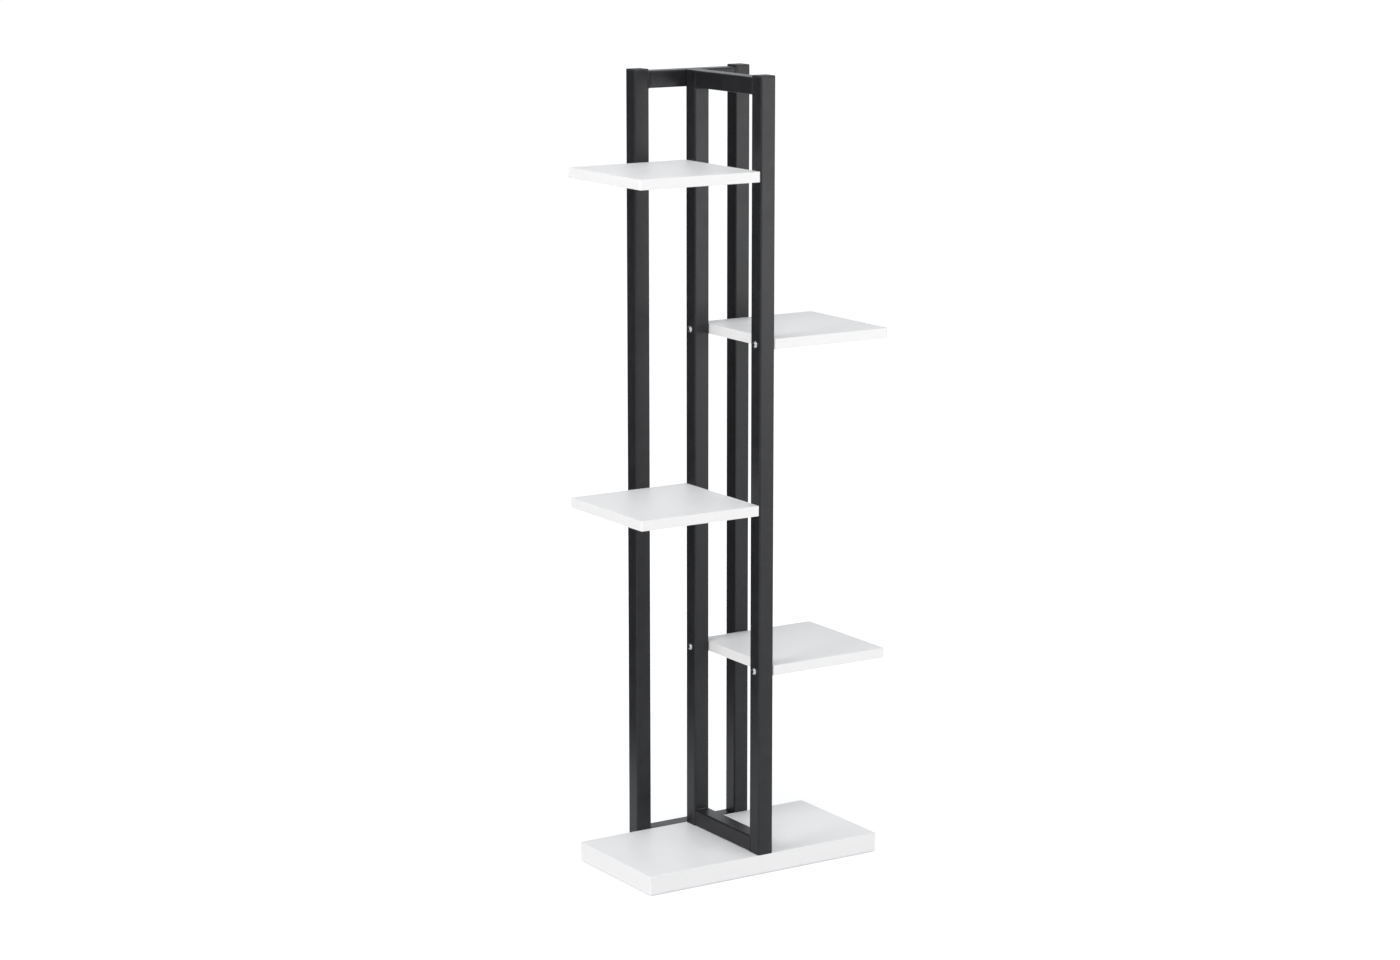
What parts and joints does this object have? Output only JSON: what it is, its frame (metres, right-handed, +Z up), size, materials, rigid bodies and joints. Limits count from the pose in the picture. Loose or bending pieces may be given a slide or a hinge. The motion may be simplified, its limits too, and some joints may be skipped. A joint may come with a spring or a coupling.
{
  "type": "plant stand",
  "caption": "Tall free-standing plant stand: black square-tube frames joined in a T carry a white base board and white shelves that step up on alternate sides.",
  "frame": {"origin": "on the floor, at the centre of the stand's outline seen from above", "axes": "+X to the right along the base board, +Y from the front to the back, +Z up"},
  "size_m": [0.425, 0.2284, 1.175],
  "materials": {
    "black_powder_coat": "satin black powder coat on steel tube",
    "white_melamine": "white melamine face on chipboard, fine satin texture",
    "white_edge_band": "white plastic edge band, satin",
    "black_plastic": "black polyethylene end cap, matte",
    "bolt_zinc": "bright zinc-plated steel",
    "insert_zinc": "zinc-plated steel, unpolished"
  },
  "bodies": {
    "root": {"base_board": "white_melamine", "base_board_edge_band": "white_edge_band", "rear_frame_left_post": "black_powder_coat", "rear_frame_right_post": "black_powder_coat", "rear_frame_top_rail": "black_powder_coat", "rear_frame_bottom_rail": "black_powder_coat", "rear_frame_weld_beads": "black_powder_coat", "cross_frame_front_post": "black_powder_coat", "cross_frame_rear_post": "black_powder_coat", "cross_frame_top_rail": "black_powder_coat", "cross_frame_bottom_rail": "black_powder_coat", "cross_frame_weld_beads": "black_powder_coat", "cross_frame_rear_post_end_plate": "black_powder_coat", "front_post_top_cap": "black_plastic", "rear_left_post_top_cap": "black_plastic", "rear_right_post_top_cap": "black_plastic", "rear_left_post_foot_cap": "black_plastic", "rear_right_post_foot_cap": "black_plastic", "base_back_bolts": "bolt_zinc", "base_back_inserts": "insert_zinc", "base_underside_bolts": "bolt_zinc", "base_underside_nuts": "insert_zinc", "frame_bolt": "bolt_zinc", "frame_bolt_nut": "insert_zinc", "lower_right_shelf": "white_melamine", "lower_right_shelf_edge_band": "white_edge_band", "lower_right_shelf_end_bolts": "bolt_zinc", "lower_right_shelf_back_bolt": "bolt_zinc", "lower_right_shelf_end_inserts": "insert_zinc", "lower_right_shelf_back_insert": "insert_zinc", "middle_left_shelf": "white_melamine", "middle_left_shelf_edge_band": "white_edge_band", "middle_left_shelf_end_bolts": "bolt_zinc", "middle_left_shelf_back_bolt": "bolt_zinc", "middle_left_shelf_end_inserts": "insert_zinc", "middle_left_shelf_back_insert": "insert_zinc", "upper_right_shelf": "white_melamine", "upper_right_shelf_edge_band": "white_edge_band", "upper_right_shelf_end_bolts": "bolt_zinc", "upper_right_shelf_back_bolt": "bolt_zinc", "upper_right_shelf_end_inserts": "insert_zinc", "upper_right_shelf_back_insert": "insert_zinc", "top_left_shelf": "white_melamine", "top_left_shelf_edge_band": "white_edge_band", "top_left_shelf_end_bolts": "bolt_zinc", "top_left_shelf_back_bolt": "bolt_zinc", "top_left_shelf_end_inserts": "insert_zinc", "top_left_shelf_back_insert": "insert_zinc"}
  },
  "joints": []
}
